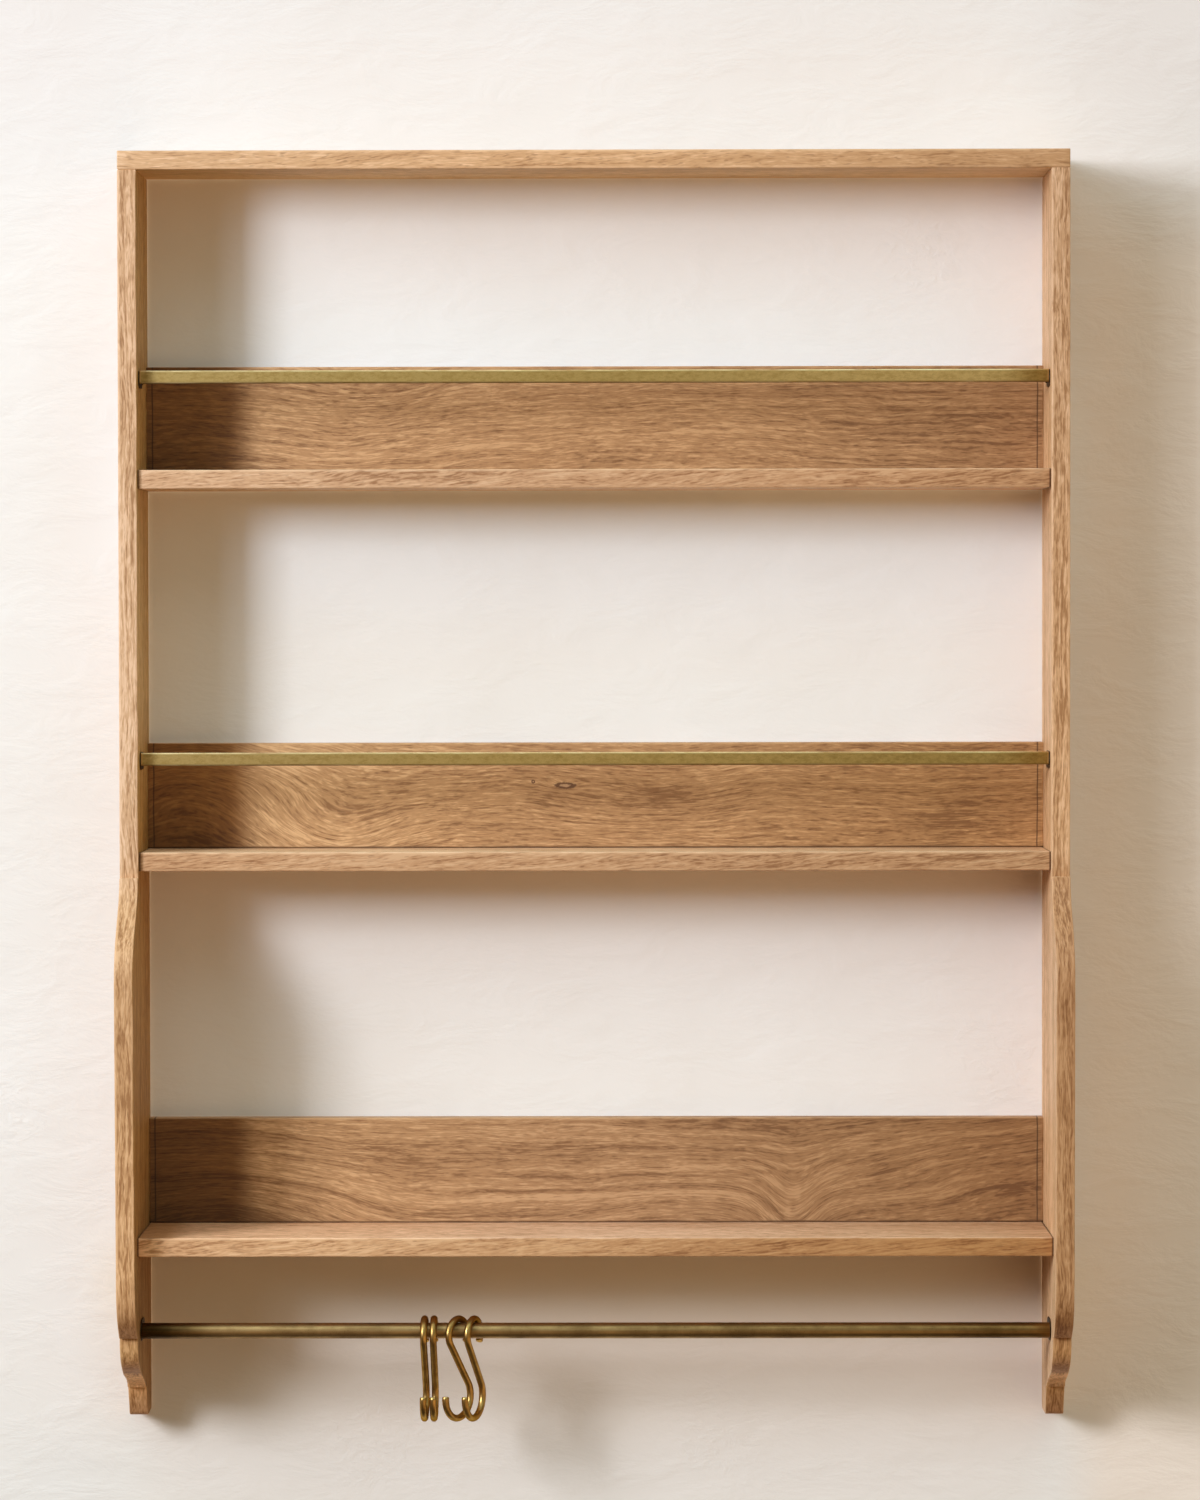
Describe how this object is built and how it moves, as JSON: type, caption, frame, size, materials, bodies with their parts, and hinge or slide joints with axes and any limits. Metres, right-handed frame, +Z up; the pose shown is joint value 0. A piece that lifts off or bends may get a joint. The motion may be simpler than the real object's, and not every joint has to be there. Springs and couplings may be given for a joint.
{
  "type": "wall display shelf",
  "caption": "Wooden wall shelf with shaped sides, open bays with back rails, flat brass guard bars and a round brass rod with S-hooks below.",
  "frame": {"origin": "midway between the centres of the two keyhole entry holes, on the wall plane at the back of the upper rail", "axes": "+Z up, +Y into the wall, +X to the right as seen from the front"},
  "size_m": [0.762, 0.151, 1.024],
  "materials": {
    "board_wood": "clear satin over honey-tan hardwood",
    "rail_wood": "clear satin over orange-brown hardwood",
    "dowel_wood": "bare beech",
    "bar_brass": "aged olive-gold patina",
    "rod_brass": "dark olive-bronze patina",
    "hook_brass": "aged golden brass",
    "plate_iron": "dark bronze-black",
    "hanger_steel": "zinc plated"
  },
  "bodies": {
    "shelf_unit": {"side_panel_left": "board_wood", "side_panel_right": "board_wood", "top_board": "board_wood", "upper_shelf": "board_wood", "middle_shelf": "board_wood", "lower_shelf": "board_wood", "upper_back_rail": "rail_wood", "middle_back_rail": "rail_wood", "lower_back_rail": "rail_wood", "upper_guard_bar": "bar_brass", "middle_guard_bar": "bar_brass", "hanging_rod": "rod_brass", "upper_bar_plate_left": "plate_iron", "upper_bar_plate_right": "plate_iron", "middle_bar_plate_left": "plate_iron", "middle_bar_plate_right": "plate_iron", "rod_plate_left": "plate_iron", "rod_plate_right": "plate_iron", "end_plate_screws": "plate_iron", "top_board_dowels": "dowel_wood", "upper_shelf_dowels": "dowel_wood", "middle_shelf_dowels": "dowel_wood", "lower_shelf_dowels": "dowel_wood", "upper_rail_dowels": "dowel_wood", "middle_rail_dowels": "dowel_wood", "lower_rail_dowels": "dowel_wood", "keyhole_hanger_left": "hanger_steel", "keyhole_hanger_right": "hanger_steel", "keyhole_hanger_screws": "hanger_steel"},
    "hook_1": {"s_hook_1": "hook_brass"},
    "hook_2": {"s_hook_2": "hook_brass"},
    "hook_3": {"s_hook_3": "hook_brass"},
    "hook_4": {"s_hook_4": "hook_brass"}
  },
  "joints": [
    {"name": "hook_1_swing", "type": "hinge", "parent": "shelf_unit", "child": "hook_1", "pos_m": [-0.1375, -0.094, -0.729], "axis": [1, 0, 0], "range_deg": [-75, 75]},
    {"name": "hook_2_swing", "type": "hinge", "parent": "shelf_unit", "child": "hook_2", "pos_m": [-0.1299, -0.094, -0.729], "axis": [1, 0, 0], "range_deg": [-75, 75]},
    {"name": "hook_3_swing", "type": "hinge", "parent": "shelf_unit", "child": "hook_3", "pos_m": [-0.1107, -0.094, -0.729], "axis": [1, 0, 0], "range_deg": [-75, 75]},
    {"name": "hook_4_swing", "type": "hinge", "parent": "shelf_unit", "child": "hook_4", "pos_m": [-0.098, -0.094, -0.729], "axis": [1, 0, 0], "range_deg": [-75, 75]}
  ],
  "couplings": [
    {"joint": "hook_4_swing", "follows": "hook_3_swing", "ratio": 1}
  ]
}
